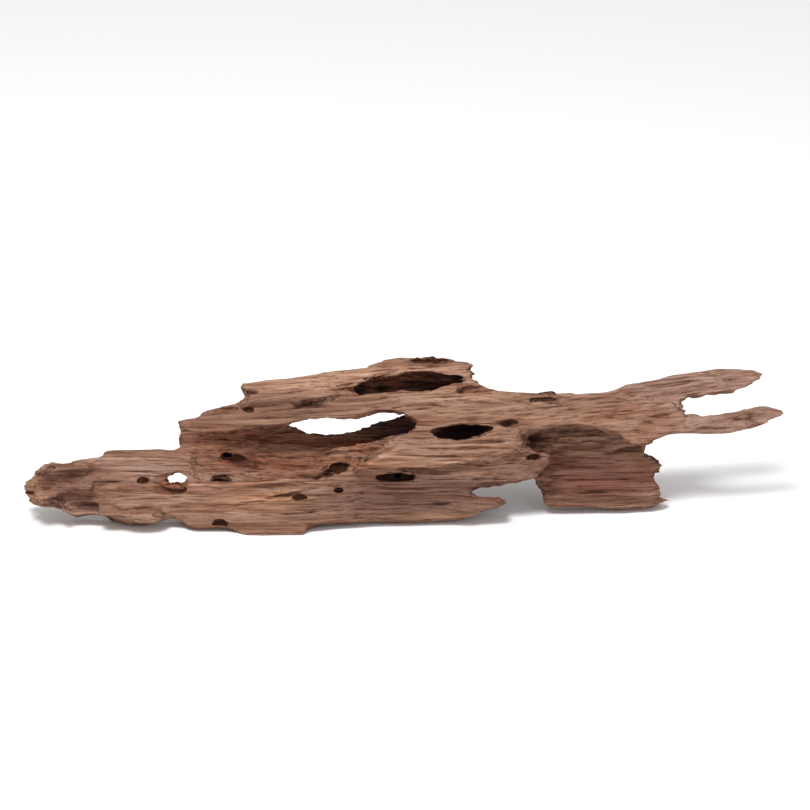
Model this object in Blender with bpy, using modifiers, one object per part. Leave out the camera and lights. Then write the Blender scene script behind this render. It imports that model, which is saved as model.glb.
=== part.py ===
"""Honeycomb wood: one weathered, hollowed length of hardwood, 505 mm long.

The wood is worked lying square to the viewer: X runs along the grain to the right, Y goes away
from the viewer and Z goes up. It is fused from bowed plates of wood, each one an outline with a
front face that is given in depth, and then hollowed by tunnels, holes and grooves that run with
the grain. At the end it is leaned back until it rests on its three feet, and stood on the origin.
All sizes below are in millimetres.
"""

import math
import random

import bmesh
import bpy
from mathutils import Vector

MM = 0.001
LENGTH = 505.0
LEAN = math.radians(22)
GRAIN_STRETCH = 2.5
GRAIN_RUN = 9.0
VOXEL = 1.5
TRIANGLES = 8560
FINE_HOLE = 6.0
GROUND = 15.2
WEATHER_ROUNDS = 2
SLICE_ALONG = 12.0
SLICE_UP = 6.0
WOOD_COLOUR = (0.33, 0.20, 0.13, 1.0)
WOOD_ROUGHNESS = 0.85

# Unevenness of the surface: name, kind of noise, size, strength, level that stays where it is
RELIEFS = [
    ("swells", "SOFT_NOISE", 13, 4.0, 0.45),
    ("furrows", "HARD_NOISE", 5, 2.6, 0.38),
]


def clear_scene():
    for old in list(bpy.data.objects):
        bpy.data.objects.remove(old)


def new_collection(name):
    collection = bpy.data.collections.new(name)
    bpy.context.scene.collection.children.link(collection)
    return collection


def between(x, rows, column):
    """The value of a table's column at x: rows start with their x and are joined smoothly."""
    if x <= rows[0][0]:
        return rows[0][column]
    for left, right in zip(rows, rows[1:]):
        if x <= right[0]:
            share = (x - left[0]) / (right[0] - left[0])
            share = share * share * (3 - 2 * share)
            return left[column] + share * (right[column] - left[column])
    return rows[-1][column]


def mesh_from(curve_object):
    """Turns a curve object into a mesh object of the same shape, with its caps welded."""
    graph = bpy.context.evaluated_depsgraph_get()
    mesh = bpy.data.meshes.new_from_object(curve_object.evaluated_get(graph))
    shape = bmesh.new()
    shape.from_mesh(mesh)
    bmesh.ops.remove_doubles(shape, verts=shape.verts, dist=0.01 * MM)
    shape.to_mesh(mesh)
    shape.free()
    made = bpy.data.objects.new(curve_object.name + "_mesh", mesh)
    made.matrix_world = curve_object.matrix_world.copy()
    bpy.data.objects.remove(curve_object)
    return made


def flat_outline(name, outline, collection):
    """A prism 1 mm deep over a closed outline of (x, z) points, as a mesh object."""
    curve = bpy.data.curves.new(name, "CURVE")
    curve.dimensions = "2D"
    curve.fill_mode = "BOTH"
    curve.extrude = 0.5 * MM
    spline = curve.splines.new("POLY")
    spline.points.add(len(outline) - 1)
    spline.use_cyclic_u = True
    for point, (x, z) in zip(spline.points, outline):
        point.co = (x * MM, z * MM, 0, 1)
    drawn = bpy.data.objects.new(name, curve)
    bpy.context.scene.collection.objects.link(drawn)
    bpy.context.view_layer.update()
    made = mesh_from(drawn)
    collection.objects.link(made)
    return made


def slice_flat_faces(shape):
    """Cuts a prism into small fields, so that it can be bowed."""
    for axis, step in ((0, SLICE_ALONG), (1, SLICE_UP)):
        places = [vertex.co[axis] / MM for vertex in shape.verts]
        low, high = min(places), max(places)
        normal = Vector((0, 0, 0))
        normal[axis] = 1
        for number in range(1, int((high - low) / step) + 1):
            everything = shape.verts[:] + shape.edges[:] + shape.faces[:]
            cut = normal * (low + number * step) * MM
            bmesh.ops.bisect_plane(shape, geom=everything, plane_co=cut, plane_no=normal)


def plate(name, collection, outline, span, face, thickness, bulge=0.0):
    """A bowed plate of wood.

    span is the (low, high) of z between which the rows of face and thickness hold: each row is
    (x, value at the low edge, value at the high edge). face is the depth of the front face, and
    bulge pushes its middle back (or forward, below 0).
    """
    made = flat_outline(name, outline, collection)
    shape = bmesh.new()
    shape.from_mesh(made.data)
    slice_flat_faces(shape)
    low, high = span
    for vertex in shape.verts:
        x, z = vertex.co.x / MM, vertex.co.y / MM
        is_back = vertex.co.z > 0
        height = min(1.0, max(0.0, (z - low) / (high - low)))
        depth = between(x, face, 1) * (1 - height) + between(x, face, 2) * height
        depth += bulge * (1 - (2 * height - 1) ** 2)
        if is_back:
            depth += between(x, thickness, 1) * (1 - height) + between(x, thickness, 2) * height
        vertex.co = Vector((x, depth, z)) * MM
    bmesh.ops.reverse_faces(shape, faces=shape.faces)
    shape.to_mesh(made.data)
    shape.free()
    return made


def strand(name, collection, stations, flat=1.0):
    """A tapered round strand through (x, y, z, radius) stations, flat times as deep as it is high."""
    curve = bpy.data.curves.new(name, "CURVE")
    curve.dimensions = "3D"
    curve.bevel_depth = 1 * MM
    curve.bevel_resolution = 3
    curve.resolution_u = 4
    curve.use_fill_caps = True
    spline = curve.splines.new("BEZIER")
    spline.bezier_points.add(len(stations) - 1)
    for point, (x, y, z, radius) in zip(spline.bezier_points, stations):
        point.co = (x * MM, y / flat * MM, z * MM)
        point.radius = radius
        point.handle_left_type = "AUTO"
        point.handle_right_type = "AUTO"
    drawn = bpy.data.objects.new(name, curve)
    drawn.scale = (1, flat, 1)
    bpy.context.scene.collection.objects.link(drawn)
    bpy.context.view_layer.update()
    made = mesh_from(drawn)
    collection.objects.link(made)
    made.data.transform(made.matrix_world)
    made.matrix_world.identity()
    return made


def hole(name, collection, middle, half_length, half_height, depth, tilt=0.0):
    """A worn pit with the grain, pointed at one end, reaching depth each way in Y from its middle."""
    fineness = 2 if half_length > FINE_HOLE else 1
    bpy.ops.mesh.primitive_ico_sphere_add(subdivisions=fineness, radius=1)
    made = bpy.context.object
    made.name = name
    draw = random.Random(name)
    point_end = draw.choice((-1, 1))
    bow = draw.uniform(-0.35, 0.35)
    for vertex in made.data.vertices:
        along = vertex.co.x * point_end
        vertex.co *= draw.uniform(0.92, 1.08)
        vertex.co.z *= 1 - 0.4 * max(0, along)
        vertex.co.z += bow * (vertex.co.x ** 2 - 0.3)
        vertex.co *= MM
    made.location = Vector(middle) * MM
    made.rotation_euler.y = -math.radians(tilt)
    made.scale = (half_length, depth, half_height)
    for owner in list(made.users_collection):
        owner.objects.unlink(made)
    collection.objects.link(made)
    return made


def knob(name, collection, middle, half_sizes):
    """A rounded lump of wood."""
    bpy.ops.mesh.primitive_ico_sphere_add(subdivisions=3, radius=MM, location=Vector(middle) * MM)
    made = bpy.context.object
    made.name = name
    made.scale = half_sizes
    for owner in list(made.users_collection):
        owner.objects.unlink(made)
    collection.objects.link(made)
    bpy.context.view_layer.update()
    made.data.transform(made.matrix_world)
    made.matrix_world.identity()
    return made


# x, y, z and half sizes along x, y and z
KNOBS = [
    (-245, -28, 33, 7, 14, 5.5),
    (-237, -30, 24, 9, 14, 6),
    (-231, -29, 42.5, 9, 13, 5.5),
    (-223, -33, 18, 5, 11, 5),
    (-214, -30, 45, 9, 12, 5),
    (-196, -34, 18, 8, 12, 7),
    (-172, -34, 14, 16, 14, 8),
    (-211, -36, 33, 8, 7, 6),
    (-226, -34, 32, 6, 7, 4.5),
]


def left_end(wood):
    """The thin left end of the wood, low and close to the viewer."""
    plate(
        "left_plate", wood,
        outline=[
            (-141, 57), (-149, 53.5), (-163, 55.7), (-198, 55.7), (-200, 51.5), (-204, 49),
            (-214, 50.3), (-224, 46), (-233, 48.5), (-239, 48), (-243.5, 41.5), (-244, 39),
            (-250, 37.5), (-252.5, 34), (-252, 30), (-250, 26.5), (-246, 20), (-242, 17.5),
            (-228, 17.5), (-224, 16.5), (-223, 13), (-219, 11), (-208, 13.5), (-196, 12.5),
            (-192, 9.5), (-180, 6), (-170, 6.5), (-165, 10), (-153, 11.5), (-147, 9.5), (-143, 4),
            (-133, 3.5), (-120, 4.5), (-90, 4), (-90, 22), (-130, 30), (-139, 38),
        ],
        span=(6, 56),
        face=[(-252, -30, -26), (-200, -33, -28), (-150, -34, -28), (-90, -38, -30)],
        thickness=[(-252, 22, 20), (-150, 18, 14), (-90, 14, 12)],
        bulge=-3,
    )
    for number, (x, y, z, half_length, half_depth, half_height) in enumerate(KNOBS):
        knob(f"knob_{number}", wood, (x, y, z), (half_length, half_depth, half_height))


def front_band(wood):
    """The lower front, from the lobe that stands on the ground to the finger right of the middle."""
    plate(
        "front_band", wood,
        outline=[
            (-146, 34), (-127, 34.7), (-103, 36), (-77, 38), (-62, 38), (-56, 38), (-48, 39.5),
            (-40, 42), (-20, 46), (20, 48), (60, 52), (84, 56), (96, 52), (92, 40), (87, 36),
            (77, 35.3), (71, 32.7), (53, 30.7), (43, 27), (44.5, 25.3), (49, 25.2), (58, 26),
            (64, 24.5), (67.5, 21), (65, 18), (53, 17), (48, 13), (43, 11.5), (17, 10), (-23, 9),
            (-50, 7.7), (-62, 7), (-66, 1), (-69, -0.5), (-103, -1), (-108, 1), (-114, 4.5),
            (-125, 5), (-138, 3.5), (-145, 6),
        ],
        span=(0, 48),
        face=[
            (-147, -38, -34), (-85, -42, -36), (-60, -41, -36), (-20, -30, -36), (40, -25, -40),
            (95, -18, -30),
        ],
        thickness=[(-147, 14, 13), (-60, 15, 12), (40, 12, 12), (95, 12, 12)],
    )
    strand("finger", wood, [(34, -27, 18, 7), (48, -29, 20.5, 4.6), (60, -29, 21.8, 4.6)], flat=1.4)
    knob("fingertip", wood, (60.5, -29, 21.8), (8, 7, 5.2))


def trough(wood):
    """The wide hollow between the front band and the middle bar, with the see-through gap over it."""
    plate(
        "trough", wood,
        outline=[
            (-150, 73), (-149.5, 66), (-148.5, 60), (-147, 57), (-150, 48), (-150, 34), (-140, 24),
            (-60, 20), (10, 22), (40, 31), (62, 43), (80, 52), (80, 70), (30, 88), (2, 84),
            (-1, 79.3), (-8.7, 76.3), (-16.7, 75.3), (-23.3, 73.3), (-35.3, 68.7), (-40, 67.3),
            (-50, 66.7), (-59, 66.3), (-64.7, 67.3), (-74.7, 71), (-85, 76), (-110, 80), (-140, 76),
        ],
        span=(20, 80),
        face=[(-150, -38, -24), (-126, -36, -15), (-76, -31, 5), (0, -30, 13), (80, -25, 14)],
        thickness=[(-150, 18, 18), (-76, 18, 12), (80, 18, 10)],
        bulge=6,
    )
    plate(
        "trough_ramp", wood,
        outline=[
            (-74, 38), (-30, 42), (20, 46), (20, 70), (8, 68.5), (-4, 66), (-16, 64), (-30, 60.5),
            (-46, 57), (-62, 50), (-74, 45),
        ],
        span=(40, 70),
        face=[(-74, -10, 6), (-46, -22, -2), (-20, -37, -16), (20, -40, -24)],
        thickness=[(-74, 16, 8), (20, 22, 20)],
    )
    strand(
        "back_rib", wood,
        [
            (-132, 0, 30, 6), (-95, 12, 31, 11), (-50, 19, 34, 12), (0, 20, 35, 12), (30, 15, 38, 9),
            (60, 4, 48, 8),
        ],
    )
    strand("back_ridge", wood, [(20, 14, 80, 6), (60, 18, 78, 9), (110, 12, 76, 9), (165, 2, 77, 7)])


def upper_bars(wood):
    """The middle bar over the gap, and the top bar and its back behind the upper cavity."""
    plate(
        "middle_bar", wood,
        outline=[
            (-152, 74.3), (-151, 71), (-149, 68.5), (-136.7, 66.3), (-123, 67), (-110, 69.3),
            (-96.7, 70.7), (-76.7, 73), (-70, 75.3), (-60, 76.7), (-50, 77.7), (-26.7, 78),
            (-20.7, 81), (-4.7, 81.3), (0, 79.3), (6.7, 75.3), (12, 80), (15, 95), (-3, 94.7),
            (-40, 94), (-60, 94), (-80, 93), (-100, 90), (-110, 88), (-123, 84.7), (-132, 82),
            (-140, 77.3), (-147, 75.7),
        ],
        span=(66, 96),
        face=[(-152, -24, -14), (-76, -26, -13), (-35, -26, -14), (-8, -34, -18), (15, -40, -21)],
        thickness=[(-152, 22, 14), (-100, 28, 20), (-60, 30, 26), (-20, 30, 32), (15, 38, 38)],
        bulge=-5,
    )
    plate(
        "top_bar", wood,
        outline=[
            (-103, 86), (-105, 89), (-106.5, 92), (-105, 93.7), (-112, 99), (-107, 101.3),
            (-91, 102.3), (-80, 103.3), (-62, 106.7), (-43, 108.7), (-26.7, 110.7), (-2, 113.5),
            (30, 113), (46.7, 114.7), (47, 110.5), (45.7, 108.5), (46.5, 105.5), (45, 103.3),
            (40, 103.3), (33, 105.3), (23, 104.7), (16.7, 108), (-2, 106), (-22, 102.7),
            (-30, 99.3), (-40, 94.7), (-50, 90), (-80, 88),
        ],
        span=(88, 114),
        face=[(-112, -26, -8), (-60, -29, -4), (-30, -19, 0), (45, -15, 3)],
        thickness=[(-112, 20, 11), (-60, 31, 19), (45, 24, 18)],
        bulge=-4,
    )
    plate(
        "top_back_ridge", wood,
        outline=[
            (-34, 96), (-27, 108), (-25, 112), (-18.7, 115), (-10, 118), (-2, 118.7), (4.7, 117.7),
            (28.7, 117.7), (34.7, 115.7), (46, 114.5), (46, 104), (20, 96),
        ],
        span=(96, 118),
        face=[(-34, 6, 6), (46, 6, 6)],
        thickness=[(-34, 12, 12), (46, 12, 12)],
    )
    plate(
        "upper_back", wood,
        outline=[
            (-85, 86), (-66, 99), (-30, 106), (0, 112), (40, 110), (52, 97), (62, 86), (20, 84),
            (-20, 83.5),
        ],
        span=(84, 112),
        face=[(-85, 2, 2), (-40, 13, 10), (66, 13, 10)],
        thickness=[(-85, 10, 8), (-30, 12, 12), (66, 12, 12)],
        bulge=3,
    )


def right_body(wood):
    """The front wall right of the middle, the filling behind it and the ledge over the alcove."""
    plate(
        "front_wall", wood,
        outline=[
            (-5, 94), (10, 94.3), (25, 99.3), (40, 102), (46, 102.5), (52, 99.5), (56, 97.5),
            (59, 96.2), (63, 95.3), (80, 94.3), (97, 93.3), (107, 94.3), (130, 93.7), (147, 91),
            (163, 90), (175, 88.5), (187, 78.7), (190, 67), (177, 66), (167, 62.3), (160.7, 58.7),
            (150, 60), (144, 62.5), (141, 65.3), (138, 67), (129, 68.7), (117, 72.7), (103, 71.7),
            (93, 70), (86, 67.3), (77.5, 69), (78.7, 62.7), (76.7, 54.7), (63, 50.7), (43, 48),
            (30, 44.7), (17, 43.3), (-36.7, 42.7), (-36.7, 44.5), (-32, 47.5), (-30, 52.7),
            (-16, 56), (-15, 58.7), (-2.7, 66), (6, 70.7), (6.7, 75.3), (-2, 80.5),
        ],
        span=(43, 103),
        face=[
            (-37, -43, -20), (0, -46, -18), (60, -45, -13), (90, -35, -12), (140, -28, -9),
            (187, -22, -7),
        ],
        thickness=[(-37, 12, 14), (60, 14, 14), (187, 14, 12)],
        bulge=-7,
    )
    plate(
        "right_filling", wood,
        outline=[
            (9, 82), (12, 92), (60, 93), (140, 92), (172, 86), (176, 70), (152, 64), (140, 70),
            (120, 76), (100, 76), (84, 70), (78, 56), (60, 54), (20, 52), (9, 58),
        ],
        span=(52, 93),
        face=[(0, -30, -18), (100, -26, -12), (176, -18, -10)],
        thickness=[(0, 44, 34), (100, 36, 26), (176, 18, 14)],
    )
    plate(
        "right_panel", wood,
        outline=[
            (87, 36.3), (90, 29.3), (91, 23.3), (93, 19.7), (103, 18.7), (123, 19), (140, 17),
            (157, 16.7), (163, 18), (170, 19.7), (173, 22.5), (170.5, 25), (167.5, 32),
            (165.5, 35.3), (166, 40.3), (172, 44), (173, 46), (170, 49.3), (163, 51.7), (161.5, 56),
            (160.7, 59), (166, 66), (140, 78), (100, 80), (84, 74), (80, 54), (80, 40),
        ],
        span=(17, 78),
        face=[(80, -16, -12), (105, -13, -3), (130, -11, -3), (150, -9, -9), (174, -6, -12)],
        thickness=[(80, 20, 14), (130, 19, 14), (174, 17, 14)],
        bulge=2,
    )


def prongs(wood):
    """The two long fingers that run out to the right."""
    plate(
        "upper_prong", wood,
        outline=[
            (118, 94), (130, 93.7), (138, 95.3), (147, 99.7), (163, 102), (177, 105.7), (197, 109),
            (215, 111), (225, 109.7), (238, 109.3), (241, 107), (239, 103.7), (233, 101.3),
            (228, 99), (226, 96), (217, 94.3), (207, 94), (183, 90.3), (173, 86.5), (150, 82),
            (118, 82),
        ],
        span=(82, 111),
        face=[(118, -12, -8), (180, -7, -1), (241, 0, 6)],
        thickness=[(118, 22, 18), (241, 10, 8)],
        bulge=-3,
    )
    plate(
        "lower_prong", wood,
        outline=[
            (158, 88), (178, 87), (184, 87.8), (187, 88.3), (186.3, 85), (185, 80), (187, 78.7),
            (197, 78.7), (217, 81), (228, 84.7), (238, 87), (244, 86), (251, 83), (252.5, 81),
            (251, 78), (243, 74), (231, 70), (217, 66.3), (205, 66), (177, 66), (158, 62),
        ],
        span=(62, 88),
        face=[(158, -22, -10), (190, -19, -12), (252, -12, -9)],
        thickness=[(158, 18, 16), (252, 8, 8)],
        bulge=-3,
    )


def tunnels(hollows):
    """The long hollows inside: the upper cavity and the tunnel from the gap to the alcove."""
    strand(
        "upper_tunnel", hollows,
        [
            (-56, -12, 90, 2), (-38, -6, 93.5, 4), (-20, -3, 97, 7), (0, 0, 98.5, 7.8),
            (18, 0, 99, 7.5), (32, -2, 101, 4.5), (42, -4, 103, 2),
        ],
        flat=1.7,
    )
    strand(
        "right_tunnel", hollows,
        [
            (-14, -2, 73, 7), (5, -4, 73, 9), (30, -10, 70, 13), (54, -10, 70, 12), (75, -12, 68, 8),
            (95, -13, 67, 7), (115, -14, 66, 6), (140, -16, 65, 4),
        ],
    )
    plate(
        "dark_window", hollows,
        outline=[
            (17, 67.5), (22, 70), (30, 71.5), (38, 73), (47, 73), (60, 72), (64, 71), (56, 69),
            (48, 66), (40, 64), (30, 62.5), (21, 64),
        ],
        span=(62, 74),
        face=[(17, -70, -70), (64, -70, -70)],
        thickness=[(17, 62, 62), (64, 62, 62)],
    )
    hole("window", hollows, (-149.5, -28, 37.8), 7, 4.4, 40)
    hole("window_end", hollows, (-156, -28, 36), 5.5, 2.6, 40, 12)


# x, z, half length, half height, depth, tilt in degrees
FRONT_HOLES = [
    (68.7, 73.7, 6.7, 2.3, 9, 0),
    (84.7, 51.3, 5.5, 2.3, 9, 0),
    (-6, 38.7, 12.5, 2.7, 12, 0),
    (-46, 44, 8.5, 3.2, 9, 15),
    (-43.7, 30, 3.3, 2.3, 11, 0),
    (-69, 25, 6, 1.8, 8, 0),
    (-122, 8, 6, 2.7, 9, 0),
    (-122, 36.7, 6, 1.8, 8, 0),
    (-172.7, 36.3, 4.2, 2.3, 8, 0),
    (-153, 30.2, 9, 2.4, 3, 0),
    (-118.3, 52.6, 3.2, 1.8, 36, 0),
    (-112.5, 50.6, 9.5, 2.3, 7, 0),
    (-103.3, 82.7, 4.4, 1.7, 7, 0),
    (-118.7, 82.7, 10, 2, 3, 5),
    (-234.7, 45, 6, 1.5, 5, 0),
    (92, 89.3, 10.5, 1.8, 4, 3),
    (43.3, 96.7, 9.5, 2.3, 5, 12),
    (-64, 88.5, 14, 1.6, 6, 9),
    (-98, 29.5, 32, 4.5, 4, 8),
    (16, 115.5, 14, 1.8, 7, 0),
]
BACK_HOLES = [
    (-212, 34, 12, 3, 7, 4),
    (-176, 22, 8, 2.4, 6, 0),
    (-112, 57, 10, 3, 6, -4),
    (-64, 50, 14, 3, 9, 3),
    (5, 89, 12, 3.4, 14, 0),
    (34, 81, 9, 3.2, 16, 0),
    (-20, 58, 18, 2.6, 7, -2),
    (70, 60, 11, 3.4, 9, 5),
    (112, 84, 12, 2.6, 7, 0),
    (138, 44, 10, 3, 6, -6),
    (-88, 31, 8, 2.6, 8, 0),
    (18, 32, 10, 2.4, 8, 4),
]
FINGER_NOTCH = (60, -24, 29.4)


def worn_holes(piece, pits):
    """The pits and slots of insects and rot, each sunk into the surface where it lies."""
    for side, rows, away in (("front", FRONT_HOLES, -1), ("back", BACK_HOLES, 1)):
        for number, (x, z, half_length, half_height, depth, tilt) in enumerate(rows):
            start = Vector((x / GRAIN_STRETCH, away * LENGTH, z)) * MM
            hit, place, _, _ = piece.ray_cast(start, Vector((0, -away, 0)))
            if hit:
                middle = (x, place.y / MM, z)
                hole(f"{side}_hole_{number}", pits, middle, half_length, half_height, depth, tilt)


def joined(name, collection):
    """One mesh object of everything in the collection, with the grain squeezed by GRAIN_STRETCH."""
    shape = bmesh.new()
    for piece in collection.objects:
        shape.from_mesh(piece.data)
    for vertex in shape.verts:
        vertex.co.x /= GRAIN_STRETCH
    mesh = bpy.data.meshes.new(name)
    shape.to_mesh(mesh)
    shape.free()
    for piece in list(collection.objects):
        bpy.data.objects.remove(piece)
    made = bpy.data.objects.new(name, mesh)
    made.scale.x = GRAIN_STRETCH
    collection.objects.link(made)
    return made


def add_remesh(piece, name):
    remesh = piece.modifiers.new(name, "REMESH")
    remesh.mode = "VOXEL"
    remesh.voxel_size = VOXEL * MM


def add_smooth(piece, name, rounds):
    smooth = piece.modifiers.new(name, "SMOOTH")
    smooth.factor = 0.5
    smooth.iterations = rounds


def add_relief(piece, grain, name, noise_type, size, strength, middle):
    """Raises and sinks the surface by up to half of strength, in streaks along the grain."""
    texture = bpy.data.textures.new(name, "CLOUDS")
    texture.noise_type = noise_type
    texture.noise_scale = size * MM
    texture.noise_depth = 2
    relief = piece.modifiers.new(name, "DISPLACE")
    relief.texture = texture
    relief.texture_coords = "OBJECT"
    relief.texture_coords_object = grain
    relief.strength = strength * MM
    relief.mid_level = middle


def add_difference(piece, name, cutters):
    """Cuts every object of a collection away from the piece."""
    cut = piece.modifiers.new(name, "BOOLEAN")
    cut.operation = "DIFFERENCE"
    cut.solver = "EXACT"
    cut.operand_type = "COLLECTION"
    cut.collection = cutters


def bake(piece):
    """Replaces the piece's mesh with what its modifiers make of it."""
    bpy.context.view_layer.update()
    graph = bpy.context.evaluated_depsgraph_get()
    made = bpy.data.meshes.new_from_object(piece.evaluated_get(graph))
    piece.modifiers.clear()
    piece.data = made
    bpy.context.view_layer.update()


def drop_crumbs(piece):
    """Removes the loose bits and flaps that hollowing and thinning leave, all but the largest body."""
    shape = bmesh.new()
    shape.from_mesh(piece.data)
    bodies = []
    seen = set()
    for start in shape.faces:
        if start in seen:
            continue
        seen.add(start)
        body = [start]
        for face in body:
            inner_edges = [edge for edge in face.edges if len(edge.link_faces) == 2]
            for other in (near for edge in inner_edges for near in edge.link_faces):
                if other not in seen:
                    seen.add(other)
                    body.append(other)
        bodies.append(body)
    bodies.sort(key=len)
    crumbs = [face for body in bodies[:-1] for face in body]
    bmesh.ops.delete(shape, geom=crumbs, context="FACES")
    shape.to_mesh(piece.data)
    shape.free()


def add_thin(piece, name, triangles):
    piece.data.calc_loop_triangles()
    thin = piece.modifiers.new(name, "DECIMATE")
    thin.ratio = triangles / len(piece.data.loop_triangles)


def ground_block(collection):
    """The block under the ground, which cuts the feet flat."""
    bpy.ops.mesh.primitive_cube_add(size=1, location=(0, 0, -0.5))
    block = bpy.context.object
    block.name = "ground"
    for owner in list(block.users_collection):
        owner.objects.unlink(block)
    collection.objects.link(block)


def wood_material():
    material = bpy.data.materials.new("weathered_wood")
    material.use_nodes = True
    shader = material.node_tree.nodes["Principled BSDF"]
    shader.inputs["Base Color"].default_value = WOOD_COLOUR
    shader.inputs["Roughness"].default_value = WOOD_ROUGHNESS
    return material


def hide(cutters, lean=None):
    for cutter in cutters.objects:
        cutter.hide_render = True
        cutter.display_type = "WIRE"
        cutter.parent = lean


def centre(piece, lean):
    """Moves the leaning wood until the origin is in the middle of the ground that it covers."""
    mesh = piece.evaluated_get(bpy.context.evaluated_depsgraph_get()).data
    places = [piece.matrix_world @ vertex.co for vertex in mesh.vertices]
    for axis in (0, 1):
        reach = [place[axis] for place in places]
        lean.location[axis] -= (min(reach) + max(reach)) / 2


def main():
    clear_scene()
    wood = new_collection("honeycomb_wood")
    hollows = new_collection("hollows")
    pits = new_collection("pits")
    ground = new_collection("ground")

    lean = bpy.data.objects.new("lean", None)
    lean.rotation_euler.x = -LEAN
    lean.location.z = -GROUND * MM
    grain = bpy.data.objects.new("grain", None)
    grain.scale = (GRAIN_RUN, 1, 1)
    grain.parent = lean
    for helper in (lean, grain):
        bpy.context.scene.collection.objects.link(helper)

    left_end(wood)
    front_band(wood)
    trough(wood)
    upper_bars(wood)
    right_body(wood)
    prongs(wood)
    piece = joined("honeycomb_wood", wood)
    piece.parent = lean
    tunnels(hollows)
    hide(hollows, lean)

    add_remesh(piece, "fuse")
    add_difference(piece, "hollow_out", hollows)
    add_remesh(piece, "even_out")
    add_smooth(piece, "weather", WEATHER_ROUNDS)
    for name, kind, size, strength, level in RELIEFS:
        add_relief(piece, grain, name, kind, size, strength, level)
    bake(piece)
    add_thin(piece, "thin", TRIANGLES)
    bake(piece)
    drop_crumbs(piece)

    worn_holes(piece, pits)
    hole("finger_notch", pits, FINGER_NOTCH, 16, 2.4, 22, 4)
    hide(pits, lean)
    ground_block(ground)
    hide(ground)
    add_difference(piece, "pit", pits)
    add_difference(piece, "stand", ground)
    piece.data.materials.append(wood_material())
    bpy.context.view_layer.update()
    centre(piece, lean)


main()
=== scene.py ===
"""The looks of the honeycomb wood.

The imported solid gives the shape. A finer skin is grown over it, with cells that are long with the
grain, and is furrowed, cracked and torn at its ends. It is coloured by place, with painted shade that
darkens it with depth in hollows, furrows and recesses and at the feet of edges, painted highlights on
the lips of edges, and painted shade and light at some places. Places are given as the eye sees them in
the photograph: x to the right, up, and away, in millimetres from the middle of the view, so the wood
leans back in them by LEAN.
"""

import itertools
import math

import bmesh
import bpy
import numpy as np
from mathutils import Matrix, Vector
from mathutils.bvhtree import BVHTree


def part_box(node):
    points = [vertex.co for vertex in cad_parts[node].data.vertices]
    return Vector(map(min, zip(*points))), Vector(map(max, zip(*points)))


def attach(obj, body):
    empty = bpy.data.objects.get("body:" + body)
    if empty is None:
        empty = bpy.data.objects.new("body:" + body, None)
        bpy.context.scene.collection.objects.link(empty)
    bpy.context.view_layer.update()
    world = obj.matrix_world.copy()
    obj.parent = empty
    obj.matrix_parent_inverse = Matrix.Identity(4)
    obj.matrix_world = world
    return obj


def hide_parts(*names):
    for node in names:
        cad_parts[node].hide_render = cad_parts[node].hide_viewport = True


MM = 0.001
SEED = 11

# The photograph's view: its angle from above, where it looks and how wide it is in millimetres
LEAN = math.radians(22)
MIDDLE = (0.49, -12.2, -15.2)
VIEW_UP = 86
VIEW_WIDTH = 540
LENS = 200
SENSOR = 36

# The skin: its cells' height in millimetres, how many times as long they are, and its most triangles
WELD = 0.002
CELL = 0.62
CELL_STRETCH = 3.0
SMOOTH_ROUNDS = 8
TRIANGLES = 196000

# Rays that tell how deep in a hollow a point lies: their number, start and reach in millimetres
SHADE_RAYS = 20
SHADE_START = 1.2
SHADE_REACH = 60

# Lamps: name, place, size, power
LIGHTS = [
    ("key", (-0.45, -0.75, 1.9), 0.7, 40),
    ("fill", (1.2, -1.6, 0.9), 1.2, 6),
]
LIT = (0, 0, 0.04)
SKY = 0.62

# Floor: its size in metres, and how far it lies under the wood in millimetres
FLOOR_SIZE = 12
FLOOR_DROP = 0.2
FLOOR_GREY = (0.92, 0.92, 0.92, 1)

# Colours of the wood, linear. Some are painted shade and painted light, as their names say
TAN = (0.262, 0.146, 0.096)
# Pale weathered tan, with painted light where top faces take the light
PALE_TAN_AND_PAINTED_LIGHT = (0.345, 0.200, 0.130)
GREY = (0.272, 0.163, 0.121)
BROWN = (0.175, 0.086, 0.055)
EARTH = (0.225, 0.092, 0.052)
RED = (0.180, 0.066, 0.036)
ORANGE = (0.300, 0.150, 0.078)
# Painted shade: dark purple-brown on faces that look down and under ledges
MAUVE_PAINTED_SHADE = (0.130, 0.063, 0.046)
LILAC = (0.300, 0.180, 0.142)
# Painted shade: dark brown in recesses and in the upper cavity
DUSK_PAINTED_SHADE = (0.130, 0.060, 0.052)
# Painted shade: violet-brown of the deepest hollows, darkened further by the shade layers
VIOLET_PAINTED_SHADE = (0.280, 0.175, 0.165)
# Red-brown wood, darkened as painted shade where the panel lies under the overhang
CHERRY_AND_PAINTED_SHADE = (0.128, 0.050, 0.034)
# Painted light: lightens the deep top of the trough under the middle bar
PAINTED_HOLLOW_LIGHT = (0.420, 0.195, 0.120)
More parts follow.
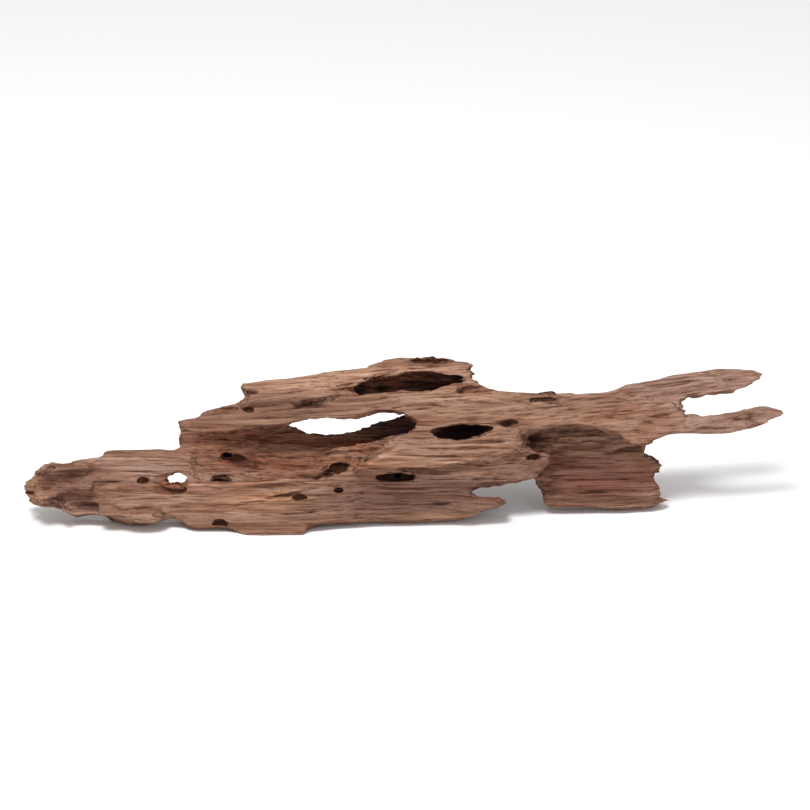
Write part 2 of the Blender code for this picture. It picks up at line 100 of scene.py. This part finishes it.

# Places: x, up, half length, half height, colour, share. Rows marked below are painted shade and
# painted light
TINTS = [
    # Top bar: pale weathered tan with painted light on its top faces
    (-20, 104, 90, 9, PALE_TAN_AND_PAINTED_LIGHT, 0.9),
    (20, 116, 24, 2.5, BROWN, 0.7),
    (-85, 82, 50, 6, BROWN, 0.7),
    (-132, 76, 16, 5, BROWN, 0.6),
    (-110, 64, 40, 5, EARTH, 0.9),
    (-78, 61, 46, 4, EARTH, 0.8),
    (-90, 48, 56, 8, EARTH, 0.9),
    (-27, 57, 14, 3, RED, 0.9),
    (-46, 48, 14, 4, ORANGE, 0.6),
    (-88, 24, 30, 5, ORANGE, 0.8),
    (-50, 12, 60, 6, BROWN, 0.5),
    (-90, 2, 36, 5, BROWN, 0.6),
    (-130, 8, 20, 7, BROWN, 0.5),
    # Painted shade in mauve on the low band under the ledge
    (0, 24, 66, 14, MAUVE_PAINTED_SHADE, 0.95),
    (45, 33, 30, 5, MAUVE_PAINTED_SHADE, 0.8),
    (30, 12, 60, 2.5, ORANGE, 0.5),
    (58, 21, 12, 4, BROWN, 0.8),
    (-8, 47, 26, 3, ORANGE, 0.5),
    # Painted shade in mauve
    (86, 56, 10, 12, MAUVE_PAINTED_SHADE, 0.6),
    # Painted shade: darker brown in the alcove under the overhang
    (112, 68, 30, 5, BROWN, 0.5),
    # Painted light: lighter orange on the lip below the alcove
    (115, 57, 26, 4, ORANGE, 0.6),
    # Panel: red-brown wood with painted shade under the overhang
    (128, 40, 52, 17, CHERRY_AND_PAINTED_SHADE, 0.9),
    (128, 24, 40, 3, BROWN, 0.5),
    (108, 33, 40, 4, RED, 0.5),
    # Painted shade in mauve
    (132, 24, 46, 4, MAUVE_PAINTED_SHADE, 0.75),
    (158, 46, 12, 6, EARTH, 0.6),
    (195, 100, 60, 12, LILAC, 0.8),
    (215, 78, 50, 14, GREY, 0.8),
    (-180, 38, 50, 16, GREY, 0.8),
    (-178, 54, 28, 2.2, BROWN, 0.8),
    (-155, 33, 12, 6, EARTH, 0.9),
    # Painted shade in mauve on the left end
    (-222, 37, 20, 10, MAUVE_PAINTED_SHADE, 0.65),
    # Painted shade in the recesses between the knobs of the left end
    (-231, 21, 9, 4, DUSK_PAINTED_SHADE, 0.85),
    (-209, 18.5, 8, 3.5, DUSK_PAINTED_SHADE, 0.8),
    (-206, 31, 10, 8, BROWN, 0.4),
    # Knob: pale tan with painted light
    (-247, 33, 6, 7, PALE_TAN_AND_PAINTED_LIGHT, 0.7),
    (-240, 23, 8, 4, ORANGE, 0.7),
]

# Painted shade and painted light in the hollows: places tinted only where they are deep
HOLLOW_PAINTED_SHADE_AND_LIGHT = [
    # Painted light in the deep top of the trough
    (-75, 61, 48, 6, PAINTED_HOLLOW_LIGHT, 0.9),
    (-25, 61, 30, 5, PAINTED_HOLLOW_LIGHT, 0.9),
    # Painted shade in the see-through gap and in the window
    (-10, 70, 26, 7, VIOLET_PAINTED_SHADE, 0.9),
    # Painted shade in the upper cavity
    (17, 99, 40, 10, DUSK_PAINTED_SHADE, 0.9),
    (35, 68, 24, 9, VIOLET_PAINTED_SHADE, 0.95),
]

# Places with strong furrows: x, up, half length, half height, share
FURROWED = [
    (60, 86, 130, 16, 1.0),
    (50, 55, 70, 12, 1.0),
    (-30, 100, 80, 10, 0.8),
    (-190, 40, 50, 16, 0.7),
    (200, 100, 50, 12, 0.6),
]

# Torn ends: x, up, half length, half height, share
TORN = [
    (46, 108, 12, 12, 1.0),
    (186, 84, 10, 10, 1.0),
    (-30, 50, 16, 12, 0.8),
    (168, 40, 12, 26, 1.0),
    (-108, 95, 10, 10, 0.4),
    (0, 76, 10, 8, 0.6),
    (135, 64, 14, 8, 0.5),
]

# Edges of layers: line of (x, up) along the edge, side that lies deeper, depth, reach of the drop,
# how dark the painted shade at the foot of the edge is, how pale the painted highlight on its lip is
EDGES = [
    (
        [(-76, 86), (-63, 88.7), (-53, 90.7), (-43, 93.3), (-35, 94.7), (-27, 96)],
        "below", 3.0, 3.0, 0.9, 0.5,
    ),
    ([(-93, 78.7), (-80, 79.3)], "below", 1.2, 1.2, 0.7, 0.4),
    ([(-108, 81), (-90, 83), (-74, 86)], "below", 0.9, 4.0, 0.3, 0.3),
    ([(-117, 65), (-98, 67)], "below", 1.0, 1.5, 0.6, 0.3),
    ([(-103, 54), (-77, 52.7), (-40, 56), (-15, 58.7)], "below", 1.8, 4.0, 0.5, 0.6),
    ([(-145, 34.7), (-127, 35.3), (-90, 36.7), (-74, 38.3)], "above", 1.8, 5.0, 0.2, 0.8),
    ([(-117, 19.3), (-95, 24.7), (-72, 30), (-56, 33.3)], "below", 2.2, 6.0, 0.1, 1.0),
    ([(-100, 20), (-80, 24), (-66, 27)], "below", 1.2, 3.0, 0.2, 0.8),
    ([(-140, 16), (-100, 16), (-50, 14), (10, 15)], "below", 0.9, 2.0, 0.5, 0.3),
    ([(-36.7, 42.7), (-30, 46), (-20, 50.7), (-10, 56), (-3, 60)], "above", 2.4, 4.0, 0.3, 0.9),
    ([(-26, 48), (-16, 50), (-4, 52)], "below", 1.0, 2.0, 0.3, 0.6),
    (
        [(-36.7, 42.7), (-13, 44.7), (10, 44), (27, 46.7), (43, 49.3), (56, 50)],
        "below", 2.6, 4.0, 0.4, 0.8,
    ),
    ([(23, 38), (43, 39.3), (63, 38)], "below", 1.2, 2.0, 0.7, 0.2),
    ([(131, 54.7), (138, 56), (145, 58), (160, 59.3)], "below", 3.0, 1.5, 1.0, 0.3),
    ([(-164, 28.4), (-155, 27.7), (-146, 28.4)], "above", 1.0, 1.2, 0.8, 0.3),
    ([(98, 35), (123, 36.7), (157, 37.3)], "below", 1.0, 2.0, 0.6, 0.2),
    ([(92, 27), (110, 26.5), (140, 28), (168, 27.3)], "above", 1.4, 4.0, 0.2, 0.5),
    ([(92, 47), (120, 45.5), (150, 47)], "below", 0.8, 2.5, 0.3, 0.3),
    ([(108, 91), (140, 92), (174, 91)], "below", 1.6, 1.4, 0.8, 0.3),
    ([(60, 77), (100, 78), (150, 80)], "below", 0.9, 2.0, 0.5, 0.4),
    ([(182, 100), (190, 102), (198, 104)], "below", 1.4, 1.4, 0.8, 0.2),
    ([(196, 108), (205, 109.5), (212, 111)], "below", 1.0, 1.4, 0.6, 0.2),
    ([(198, 74), (215, 75), (232, 79)], "below", 0.8, 2.0, 0.4, 0.3),
    ([(-203, 37.6), (-185, 36), (-163, 36.8)], "below", 1.2, 2.5, 0.4, 0.5),
    ([(-205, 33), (-185, 33), (-165, 34.5)], "above", 0.9, 2.0, 0.3, 0.6),
    ([(-190, 46), (-165, 47.5), (-150, 46)], "below", 0.7, 2.0, 0.3, 0.4),
    ([(-200, 28), (-180, 27), (-165, 28)], "below", 0.9, 2.5, 0.3, 0.4),
    ([(-246, 39), (-241, 45), (-234, 46)], "below", 1.6, 1.5, 0.9, 0.6),
    ([(-160, 20), (-140, 21.5), (-122, 20)], "below", 0.8, 2.5, 0.3, 0.5),
    ([(0, 88), (40, 90), (70, 88)], "below", 0.9, 2.0, 0.4, 0.5),
    ([(14, 58), (40, 59), (70, 58)], "below", 0.8, 2.0, 0.3, 0.5),
    ([(10, 52), (30, 53), (60, 54)], "below", 0.7, 2.0, 0.3, 0.5),
    ([(-60, 104), (-30, 106), (0, 109), (28, 109)], "below", 1.0, 2.5, 0.4, 0.5),
    ([(-96, 96), (-70, 99), (-40, 101)], "below", 0.9, 2.5, 0.4, 0.5),
]

# Sunken fields: x, up, half length, half height, depth, how dark the painted shade in them is
RECESSES = [
    (-155, 33.5, 10.5, 6.5, 2.2, 0.1),
    (-231, 21.5, 7, 4, 2.8, 0.4),
    (-209, 18.5, 6.5, 3.5, 2.4, 0.35),
    (-244, 41, 3, 2.2, 3.0, 0.7),
    (-249, 28, 3.5, 1.2, 2.6, 0.7),
    (-118, 87, 10, 2.2, 1.8, 0.3),
    (-60, 45.5, 5, 4, 1.2, 0.2),
    (-110, 50.5, 13, 2.2, 2.0, 0.6),
    (-121, 37.6, 7, 2.0, 1.8, 0.9),
    (-6, 38, 12, 2.3, 2.2, 0.95),
    (-58, 44, 20, 2.2, 1.4, 0.2),
    (112, 60, 20, 4, 1.2, 0.2),
    (92, 89.3, 13, 2.0, 1.6, 0.3),
    (-27, 97, 16, 1.6, 2.0, 0.5),
    (-105, 95.4, 7, 1.5, 4.0, 0.6),
]

# Fibres of the relief: length, width, times as deep as wide, number of the noise
FIBRES = {
    "swell": (60, 5, 2, 3),
    "layer": (110, 7, 4, 14),
    "furrow": (60, 2.2, 2, 4),
    "hair": (30, 1.2, 2, 5),
    "split": (120, 4.5, 2, 6),
    "split_run": (40, 6, 2, 7),
    "pit": (5, 1.8, 2, 8),
    "pit_field": (30, 12, 2, 9),
    "rim": (7, 2.4, 1, 15),
    "bundle": (60, 4.5, 1.5, 12),
    "thread": (50, 2.2, 1.5, 13),
}

# How deep each form sinks into the wood in millimetres, and the fine depth at which the painted shade
# in furrows is darkest
SUNK = {"swell": 0.7, "layer": 0.8, "furrow": 0.8, "hair": 0.45, "split": 1.2, "pit": 0.8, "rim": 1.8}
FINE_DEPTH = 2.2

# How far a torn end is pulled back in millimetres, and the share of that on any other end
PULLED = {"bundle": 3.6, "thread": 1.0}
TORN_ANYWHERE = 0.12

# Noise that frays an edge or warps a field: lengths of its swells, number
FRAY = ((9, 400, 400), 21)
FINE_FRAY = ((3, 400, 400), 22)
WARP = ((7, 3, 400), 23)
BEND = ((150, 60, 60), 1)
FINE_BEND = ((60, 16, 16), 2)

# Streaks of the colour: length, width, detail
STREAKS = {
    "broad": (90, 9, 3),
    "band": (70, 3.2, 4),
    "thin": (44, 1.1, 5),
    "hair": (16, 0.55, 4),
    "fleck": (6, 2.0, 4),
}
STREAK_DEPTH = 2

# Layers of the colour: what steers it, where it starts, where it is full, its share, what it
# multiplies.
# The shade rows are painted shade in hollows, the furrow row is painted shade in furrows, in recesses
# and at the feet of edges; the streak rows are the wood's grain
LAYERS = [
    # Painted shade: redder and darker part way into hollows
    ("shade", 0.8, 0.35, 0.6, (0.74, 0.49, 0.38)),
    ("broad", 0.48, 0.62, 0.7, (0.72, 0.56, 0.47)),
    ("band", 0.52, 0.62, 0.6, (1.26, 1.32, 1.38)),
    ("band", 0.47, 0.38, 0.7, (0.62, 0.50, 0.45)),
    ("thin", 0.56, 0.66, 0.6, (1.30, 1.36, 1.40)),
    ("thin", 0.45, 0.37, 0.9, (0.42, 0.31, 0.28)),
    ("hair", 0.55, 0.66, 0.5, (1.26, 1.30, 1.32)),
    ("hair", 0.44, 0.36, 0.65, (0.54, 0.45, 0.42)),
    ("fleck", 0.54, 0.66, 0.35, (0.66, 0.53, 0.48)),
    # Painted shade in furrows, in recesses and at the feet of edges
    ("furrow", 0.15, 0.85, 0.85, (0.34, 0.24, 0.21)),
    # Painted shade: dark violet deep in hollows
    ("shade", 0.38, 0.06, 0.85, (0.25, 0.16, 0.18)),
]


def smooth_step(values, low, high):
    """0 up to low, 1 from high on, and a smooth rise between them."""
    share = np.clip((values - low) / (high - low), 0, 1)
    return share * share * (3 - 2 * share)


GRADIENTS = np.random.default_rng(SEED).normal(size=(4096, 3))
GRADIENTS /= np.linalg.norm(GRADIENTS, axis=1)[:, None]


def noise(points, seed):
    """Smooth noise of about -1 to 1 whose swells are one unit apart."""
    cell = np.floor(points).astype(np.int64)
    part = points - cell
    fade = part * part * part * (part * (part * 6 - 15) + 10)
    total = np.zeros(len(points))
    for corner in itertools.product((0, 1), repeat=3):
        key = (cell + corner) @ np.array([1619, 31337, 6971]) + seed * 1013
        key = (key ^ (key >> 9)) * 60493
        key = (key ^ (key >> 13)) & 4095
        slope = np.sum((part - corner) * GRADIENTS[key], axis=1)
        weight = np.prod(np.where(corner, fade, 1 - fade), axis=1)
        total += slope * weight
    return total * 1.7


def in_view(points):
    """World points in metres as (x, up, away) in millimetres from MIDDLE."""
    x, y, z = (points / MM - np.array(MIDDLE)).T
    up = y * math.sin(LEAN) + z * math.cos(LEAN)
    away = y * math.cos(LEAN) - z * math.sin(LEAN)
    return np.column_stack([x, up, away])


def near(seen, x, up, half_length, half_height):
    """1 at a place in the view, falling off smoothly to 0 past its edge."""
    reach = ((seen[:, 0] - x) / half_length) ** 2 + ((seen[:, 1] - up) / half_height) ** 2
    return np.exp(-(reach ** 1.5))


def strongest(seen, places):
    """The highest share of the places at each point."""
    most = np.zeros(len(seen))
    for x, up, half_length, half_height, share in places:
        most = np.maximum(most, share * near(seen, x, up, half_length, half_height))
    return most


def read_points(mesh):
    flat = np.empty(len(mesh.vertices) * 3, np.float32)
    mesh.vertices.foreach_get("co", flat)
    return flat.reshape(-1, 3).astype(float)


def write_points(mesh, points):
    mesh.vertices.foreach_set("co", points.astype(np.float32).ravel())
    mesh.update()


def read_normals(mesh):
    flat = np.empty(len(mesh.vertices) * 3, np.float32)
    mesh.vertex_normals.foreach_get("vector", flat)
    return flat.reshape(-1, 3).astype(float)


def baked(piece):
    """The piece's mesh with its modifiers applied."""
    bpy.context.view_layer.update()
    graph = bpy.context.evaluated_depsgraph_get()
    made = bpy.data.meshes.new_from_object(piece.evaluated_get(graph))
    piece.modifiers.clear()
    piece.data = made
    return made


def welded(node):
    """A copy of a node's mesh whose faces share their corners."""
    shape = bmesh.new()
    shape.from_mesh(node.data)
    bmesh.ops.remove_doubles(shape, verts=shape.verts, dist=WELD * MM)
    mesh = bpy.data.meshes.new("solid")
    shape.to_mesh(mesh)
    shape.free()
    return mesh


def drop_crumbs(mesh):
    """Takes away all that isn't joined to the largest body of the mesh."""
    shape = bmesh.new()
    shape.from_mesh(mesh)
    unseen = set(shape.verts)
    bodies = []
    for first in shape.verts:
        if first in unseen:
            unseen.remove(first)
            body = [first]
            for corner in body:
                beside = [edge.other_vert(corner) for edge in corner.link_edges]
                fresh = [other for other in beside if other in unseen]
                unseen.difference_update(fresh)
                body.extend(fresh)
            bodies.append(body)
    bodies.sort(key=len)
    for body in bodies[:-1]:
        bmesh.ops.delete(shape, geom=body, context="VERTS")
    shape.to_mesh(mesh)
    shape.free()


def grown_skin(solid):
    """A closed skin over a mesh, of even cells that are CELL_STRETCH times as long as high."""
    mesh = solid.copy()
    points = read_points(mesh)
    points[:, 0] /= CELL_STRETCH
    write_points(mesh, points)
    piece = bpy.data.objects.new("honeycomb_wood_skin", mesh)
    bpy.context.scene.collection.objects.link(piece)
    remesh = piece.modifiers.new("cells", "REMESH")
    remesh.mode = "VOXEL"
    remesh.voxel_size = CELL * MM
    smooth = piece.modifiers.new("weather", "SMOOTH")
    smooth.factor = 0.5
    smooth.iterations = SMOOTH_ROUNDS
    made = baked(piece)
    drop_crumbs(made)
    points = read_points(made)
    points[:, 0] *= CELL_STRETCH
    write_points(made, points)
    return piece


def swells(seen, kind):
    """Noise of one of the kinds that are stated as lengths of its swells and a number."""
    lengths, number = kind
    return noise(seen / lengths, number)


def grain_of(seen):
    """Where each point lies in the grain, in millimetres: along it and twice across it."""
    x, up, away = seen.T
    rise = 0.1 * smooth_step(up, 50, 100) * x
    bend = 3 * swells(seen, BEND) + 0.7 * swells(seen, FINE_BEND)
    return np.column_stack([x, up - rise + bend, away + 0.5 * bend])


def fibres(grain, name):
    """Noise in fibres of one of the kinds in FIBRES."""
    length, width, flat, number = FIBRES[name]
    return noise(grain / np.array([length, width, flat * width]), number)


def lines(values, width):
    """1 along the lines where the values pass through 0, and 0 away from them."""
    return np.exp(-((values / width) ** 2))


def steps(values):
    """The values rounded to whole layers with steep edges between them, as shares of one layer."""
    base = np.floor(values)
    return (base + smooth_step(values - base, 0.35, 0.65)) % 2 / 2


def past_edge(seen, line, deeper):
    """How far past an edge each point lies on its deeper side, and 1 along the edge, 0 off its ends."""
    xs, ups = zip(*line)
    past = seen[:, 1] - np.interp(seen[:, 0], xs, ups)
    if deeper == "below":
        past = -past
    rough = 1 + 3 * abs(ups[-1] - ups[0]) / (xs[-1] - xs[0])
    past += rough * (0.7 * swells(seen, FRAY) + 0.4 * swells(seen, FINE_FRAY))
    begun = smooth_step(seen[:, 0], xs[0] - 2, xs[0] + 5)
    ended = smooth_step(seen[:, 0], xs[-1] - 5, xs[-1] + 2)
    return past, begun * (1 - ended)


def layered(seen, to_viewer):
    """How deep the edges and recesses sink each point, the painted shade at the feet of edges and in
    recesses, and the painted highlight on the lips of edges.
    """
    sunk = np.zeros(len(seen))
    painted_shade = np.zeros(len(seen))
    painted_highlight = np.zeros(len(seen))
    for line, deeper, depth, reach, dark_share, pale_share in EDGES:
        past, along = past_edge(seen, line, deeper)
        along = along * to_viewer
        drop = smooth_step(past, 0, 0.8) * along
        beyond = np.maximum(past, 0)
        sunk = np.maximum(sunk, depth * drop * np.exp(-((beyond / reach) ** 2)))
        painted_shade = np.maximum(painted_shade, dark_share * drop * np.exp(-((beyond / (0.7 + 0.2 * reach)) ** 2)))
        painted_highlight = np.maximum(painted_highlight, pale_share * along * np.exp(-(((past + 0.9) / 0.9) ** 2)))
    warp = 0.25 * swells(seen, WARP)
    for x, up, half_length, half_height, depth, dark_share in RECESSES:
        reach = ((seen[:, 0] - x) / half_length) ** 4 + ((seen[:, 1] - up) / half_height) ** 4 + warp
        field = (1 - smooth_step(reach, 0.6, 1.2)) * to_viewer
        sunk = np.maximum(sunk, depth * field)
        painted_shade = np.maximum(painted_shade, dark_share * field)
    return sunk, painted_shade, painted_highlight


def off_ground(points):
    """0 at the ground, which stays flat, and 1 from 3 mm above it on."""
    return smooth_step(points[:, 2] / MM, 0.3, 3.0)


def carve(piece, shade):
    """Sinks layers, furrows, cracks and pits. Gives the painted shade they leave at each point, and the
    painted highlight on the lips of edges.
    """
    mesh = piece.data
    points, normals = read_points(mesh), read_normals(mesh)
    seen = in_view(points)
    grain = grain_of(seen)
    strong = 0.45 + 0.55 * strongest(seen, FURROWED)
    side = 1 - smooth_step(np.abs(normals[:, 0]), 0.4, 0.8)
    rim = smooth_step(shade, 0.2, 0.4) * (1 - smooth_step(shade, 0.6, 0.85))
    facing = -normals[:, 1] * math.cos(LEAN) + normals[:, 2] * math.sin(LEAN)
    to_viewer = smooth_step(facing, 0.05, 0.4)
    swell = 0.5 + 0.5 * fibres(grain, "swell")
    layer = steps(fibres(grain, "layer") * 2)
    furrow = smooth_step(-fibres(grain, "furrow"), -0.05, 0.5)
    hair = smooth_step(-fibres(grain, "hair"), 0.0, 0.5)
    split = lines(fibres(grain, "split"), 0.06) * smooth_step(fibres(grain, "split_run"), 0.05, 0.3)
    pit = smooth_step(fibres(grain, "pit"), 0.5, 0.8)
    pit *= smooth_step(fibres(grain, "pit_field"), 0.1, 0.4)
    edges, painted_shade, painted_highlight = layered(seen, to_viewer)
    fine = strong * side * (SUNK["furrow"] * furrow + SUNK["hair"] * hair)
    fine += side * SUNK["split"] * split + SUNK["pit"] * pit
    sunk = SUNK["swell"] * swell + SUNK["layer"] * layer + fine + edges
    sunk += rim * SUNK["rim"] * fibres(grain, "rim")
    points -= normals * (sunk * off_ground(points))[:, None] * MM
    write_points(mesh, points)
    return np.clip(fine / FINE_DEPTH + painted_shade, 0, 1), painted_highlight * (1 - painted_shade)


def tear(piece):
    """Pulls the wood back along the grain, in bundles of fibres, where it is broken across it."""
    mesh = piece.data
    points, normals = read_points(mesh), read_normals(mesh)
    seen = in_view(points)
    grain = grain_of(seen)
    across = smooth_step(np.abs(normals[:, 0]), 0.25, 0.75)
    torn = TORN_ANYWHERE + (1 - TORN_ANYWHERE) * strongest(seen, TORN)
    bundle = 0.5 + 0.5 * fibres(grain, "bundle")
    thread = 0.5 + 0.5 * fibres(grain, "thread")
    pull = across * torn * (PULLED["bundle"] * bundle + PULLED["thread"] * thread) * off_ground(points)
    points[:, 0] -= np.sign(normals[:, 0]) * pull * MM
    write_points(mesh, points)
    return across * torn


def shade_of(points, normals, solid):
    """The share of the light round each point that the solid lets through: 0 deep in a hollow."""
    solid.calc_loop_triangles()
    places = [vertex.co.copy() for vertex in solid.vertices]
    tree = BVHTree.FromPolygons(places, [tuple(face.vertices) for face in solid.loop_triangles])
    rays = np.random.default_rng(SEED).normal(size=(SHADE_RAYS, 3))
    rays /= np.linalg.norm(rays, axis=1)[:, None]
    facing = normals @ rays.T
    ways = [(Vector(ray), Vector(-ray)) for ray in rays]
    starts = points + normals * SHADE_START * MM
    shade = []
    for start, slopes in zip(starts.tolist(), facing.tolist()):
        through, total = 0.0, 0.001
        for (ahead, back), slope in zip(ways, slopes):
            total += abs(slope)
            if tree.ray_cast(start, ahead if slope > 0 else back, SHADE_REACH * MM)[0] is None:
                through += abs(slope)
        shade.append(through / total)
    return np.array(shade)


def tint_of(seen, shade):
    """The wood's colour at each point before its streaks, with painted shade and painted light at some
    places and in deep hollows.
    """
    colour = np.tile(np.array(TAN), (len(seen), 1))
    anywhere = np.ones(len(seen))
    deep = 1 - smooth_step(shade, 0.2, 0.45)
    for places, allowed in ((TINTS, anywhere), (HOLLOW_PAINTED_SHADE_AND_LIGHT, deep)):
        for x, up, half_length, half_height, tint, share in places:
            weight = (share * allowed * near(seen, x, up, half_length, half_height))[:, None]
            colour = colour * (1 - weight) + np.array(tint) * weight
    return colour


def store(mesh, name, kind, values):
    """Keeps the values on the mesh, for its material."""
    attribute = mesh.attributes.new(name, kind, "POINT")
    field = {"FLOAT": "value", "FLOAT_VECTOR": "vector", "FLOAT_COLOR": "color"}[kind]
    attribute.data.foreach_set(field, values.astype(np.float32).ravel())


def thinned(piece):
    """Takes faces away where the surface is flat, down to TRIANGLES."""
    mesh = piece.data
    mesh.calc_loop_triangles()
    count = len(mesh.loop_triangles)
    if count > TRIANGLES:
        thin = piece.modifiers.new("thin", "DECIMATE")
        thin.ratio = TRIANGLES / count
        thin.use_collapse_triangulate = True
        baked(piece)


def kept_inside(piece, low, high):
    """Holds every point inside the box of the solid."""
    points = np.clip(read_points(piece.data), np.array(low), np.array(high))
    write_points(piece.data, points)


class Tree:
    """Adds nodes to a material and links them."""

    def __init__(self, material):
        self.nodes = material.node_tree.nodes
        self.links = material.node_tree.links

    def add(self, kind, inputs=None, **settings):
        node = self.nodes.new(kind)
        for name, value in settings.items():
            setattr(node, name, value)
        for name, value in (inputs or {}).items():
            if isinstance(value, bpy.types.NodeSocket):
                self.links.new(value, node.inputs[name])
            else:
                node.inputs[name].default_value = value
        return node

    def attribute(self, name, output):
        return self.add("ShaderNodeAttribute", attribute_name=name).outputs[output]

    def streaks(self, grain, length, width, detail):
        """Noise in streaks of that length and width, in millimetres."""
        scale = (1 / length, 1 / width, 1 / (STREAK_DEPTH * width))
        scaled = self.add("ShaderNodeVectorMath", {0: grain, 1: scale}, operation="MULTIPLY")
        inputs = {"Vector": scaled.outputs[0], "Scale": 1.0, "Detail": detail}
        return self.add("ShaderNodeTexNoise", inputs).outputs["Fac"]

    def ramp(self, value, low, high, start, end):
        """The value's range low to high as start to end."""
        inputs = {"Value": value, "From Min": low, "From Max": high, "To Min": start, "To Max": end}
        return self.add("ShaderNodeMapRange", inputs, interpolation_type="SMOOTHSTEP").outputs["Result"]

    def tinted(self, colour, value, low, high, share, by):
        """The colour multiplied by another, by no share where value is low and by share at high."""
        return self.blend(self.ramp(value, low, high, 0.0, share), colour, by, "MULTIPLY")

    def maths(self, operation, first, second):
        return self.add("ShaderNodeMath", {0: first, 1: second}, operation=operation).outputs[0]

    def blend(self, share, first, second, kind="MIX"):
        node = self.add("ShaderNodeMix", data_type="RGBA", blend_type=kind)
        for socket, value in ((0, share), (6, first), (7, second)):
            if isinstance(value, bpy.types.NodeSocket):
                self.links.new(value, node.inputs[socket])
            else:
                node.inputs[socket].default_value = value
        return node.outputs[2]


def wood_material():
    """The tint of each place, in streaks along the grain, with painted shade in furrows, in recesses,
    at the feet of edges and in hollows.
    """
    material = bpy.data.materials.new("weathered_wood")
    material.use_nodes = True
    tree = Tree(material)
    shader = tree.nodes["Principled BSDF"]
    grain = tree.attribute("grain", "Vector")
    tint = tree.attribute("tint", "Color")
    steering = {name: tree.attribute(name, "Fac") for name in ("furrow", "shade")}
    for name, (length, width, detail) in STREAKS.items():
        steering[name] = tree.streaks(grain, length, width, detail)

    colour = tint
    for name, low, high, share, factor in LAYERS:
        colour = tree.tinted(colour, steering[name], low, high, share, (*factor, 1))
    tree.links.new(colour, shader.inputs["Base Color"])

    rough = tree.ramp(steering["thin"], 0.3, 0.7, 0.92, 0.72)
    tree.links.new(rough, shader.inputs["Roughness"])
    shader.inputs["Specular IOR Level"].default_value = 0.25

    height = tree.maths("ADD", steering["thin"], tree.maths("MULTIPLY", steering["hair"], 0.6))
    bump = tree.add("ShaderNodeBump", {"Height": height, "Strength": 0.8, "Distance": 0.9 * MM})
    tree.links.new(bump.outputs["Normal"], shader.inputs["Normal"])
    return material


def floor():
    """A plain pale floor just under the wood."""
    bpy.ops.mesh.primitive_plane_add(size=FLOOR_SIZE, location=(0, 0, -FLOOR_DROP * MM))
    piece = bpy.context.object
    piece.name = "floor"
    material = bpy.data.materials.new("pale_floor")
    material.use_nodes = True
    shader = material.node_tree.nodes["Principled BSDF"]
    shader.inputs["Base Color"].default_value = FLOOR_GREY
    shader.inputs["Roughness"].default_value = 0.9
    shader.inputs["Specular IOR Level"].default_value = 0.1
    piece.data.materials.append(material)


def light(name, place, size, power):
    """A square lamp that faces the wood."""
    lamp = bpy.data.lights.new(name, "AREA")
    lamp.size = size
    lamp.energy = power
    holder = bpy.data.objects.new(name, lamp)
    holder.location = place
    holder.rotation_euler = (Vector(LIT) - Vector(place)).to_track_quat("-Z", "Y").to_euler()
    bpy.context.scene.collection.objects.link(holder)


def studio():
    """Soft white light from all sides, with the lamps of LIGHTS."""
    world = bpy.data.worlds.new("studio")
    world.use_nodes = True
    background = world.node_tree.nodes["Background"]
    background.inputs["Color"].default_value = (1, 1, 1, 1)
    background.inputs["Strength"].default_value = SKY
    bpy.context.scene.world = world
    for name, place, size, power in LIGHTS:
        light(name, place, size, power)
    bpy.context.scene.view_settings.view_transform = "Standard"


def camera():
    """A long lens that sees what the photograph does: VIEW_WIDTH across, round VIEW_UP over MIDDLE."""
    lens = bpy.data.cameras.new("camera")
    lens.lens = LENS
    lens.sensor_width = SENSOR
    holder = bpy.data.objects.new("camera", lens)
    up = Vector((0, math.sin(LEAN), math.cos(LEAN)))
    back = Vector((0, -math.cos(LEAN), math.sin(LEAN)))
    target = Vector(MIDDLE) * MM + up * VIEW_UP * MM
    distance = VIEW_WIDTH * MM * LENS / SENSOR
    holder.location = target + back * distance
    holder.rotation_euler = (-back).to_track_quat("-Z", "Y").to_euler()
    bpy.context.scene.collection.objects.link(holder)
    bpy.context.scene.camera = holder


def dress(node, low, high):
    """Grows, carves and colours the skin of a node, inside the box from low to high."""
    solid = welded(node)
    piece = grown_skin(solid)
    start, outward = read_points(piece.data), read_normals(piece.data)
    shade = shade_of(start, outward, solid)
    furrow, painted_highlight = carve(piece, shade)
    torn = tear(piece)
    seen = in_view(start)
    store(piece.data, "grain", "FLOAT_VECTOR", grain_of(seen))
    # The tint, with the painted highlight on the lips of edges
    tint = np.column_stack([tint_of(seen, shade) * (1 + 0.5 * painted_highlight)[:, None], np.ones(len(seen))])
    store(piece.data, "tint", "FLOAT_COLOR", tint)
    # Painted shade in furrows, in recesses and at the feet of edges, less on torn ends
    store(piece.data, "furrow", "FLOAT", furrow * (1 - torn))
    store(piece.data, "shade", "FLOAT", shade)
    thinned(piece)
    kept_inside(piece, low, high)
    piece.data.shade_smooth()
    piece.data.materials.clear()
    piece.data.materials.append(wood_material())
    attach(piece, "root")
    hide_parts("honeycomb_wood")


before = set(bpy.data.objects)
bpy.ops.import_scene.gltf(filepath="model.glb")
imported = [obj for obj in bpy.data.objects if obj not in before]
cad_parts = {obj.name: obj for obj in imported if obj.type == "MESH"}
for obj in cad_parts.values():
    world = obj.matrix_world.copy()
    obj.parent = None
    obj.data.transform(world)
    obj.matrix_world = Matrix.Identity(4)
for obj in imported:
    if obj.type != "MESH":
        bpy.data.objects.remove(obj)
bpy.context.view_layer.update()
dress(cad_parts["honeycomb_wood"], *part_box("honeycomb_wood"))
floor()
studio()
camera()
